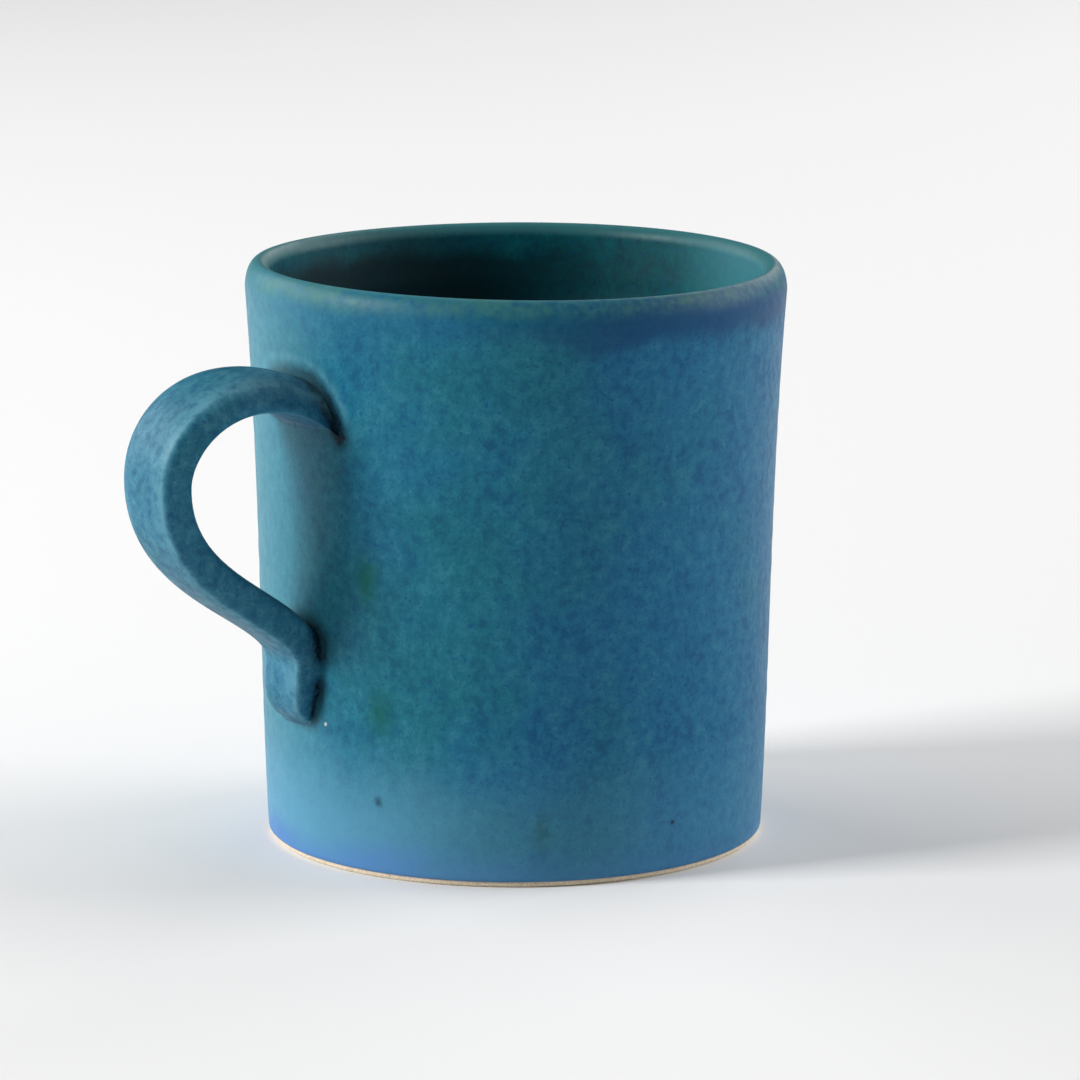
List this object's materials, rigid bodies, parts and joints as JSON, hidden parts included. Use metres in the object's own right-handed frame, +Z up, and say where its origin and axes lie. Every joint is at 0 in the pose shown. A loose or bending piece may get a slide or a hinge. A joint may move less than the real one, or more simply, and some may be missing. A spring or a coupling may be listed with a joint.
{
  "type": "shaving mug",
  "caption": "Straight-sided stoneware shaving mug with a rolled lip, a turned foot ring, a looped strap handle and a thin satin glaze over all but the foot.",
  "frame": {"origin": "centre of the foot ring's resting plane, on the axis of the pot", "axes": "+Z up along the axis of the pot, handle towards -X, +Y across the handle's plane"},
  "size_m": [0.1184, 0.09, 0.097],
  "materials": {
    "bare_clay": "unglazed stoneware, fine sandy grain, matt",
    "slip": "fired slip, matt",
    "blue_glaze": "satin-matt blue-teal glaze, fine dark speckle",
    "liner_glaze": "satin teal glaze, darker where it pools"
  },
  "bodies": {
    "root": {"clay_body": "bare_clay", "handle": "bare_clay", "upper_join": "slip", "lower_join": "slip", "outer_glaze": "blue_glaze", "liner_glaze": "liner_glaze", "handle_glaze": "blue_glaze"}
  },
  "joints": []
}
